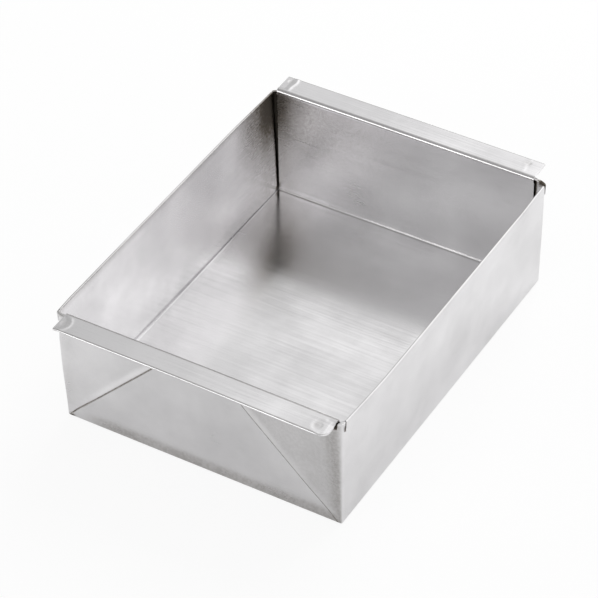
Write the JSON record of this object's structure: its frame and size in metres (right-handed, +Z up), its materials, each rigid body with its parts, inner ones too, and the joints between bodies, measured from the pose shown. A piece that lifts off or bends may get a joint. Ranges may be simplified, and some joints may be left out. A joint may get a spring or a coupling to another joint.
{
  "type": "rectangular dessert mould",
  "caption": "Rectangular stainless pouring mould: a folded sheet box with a hemmed rim, and a lift-out tray whose ears rest over both ends.",
  "frame": {"origin": "centre of the box's underside, on the surface that it stands on", "axes": "+X across the width, +Y along the length towards the back ear, +Z up out of the open top"},
  "size_m": [0.1192, 0.1672, 0.0496],
  "materials": {
    "stainless_box": "bright cold-rolled stainless sheet, lightly scuffed",
    "stainless_tray": "bright cold-rolled stainless sheet, fine lines along the ears"
  },
  "bodies": {
    "box": {"outer_box": "stainless_box"},
    "tray": {"lift_out_tray": "stainless_tray"}
  },
  "joints": [
    {"name": "tray_lift", "type": "slide", "parent": "box", "child": "tray", "axis": [0, 0, 1], "range_m": [0, 0.06]}
  ]
}
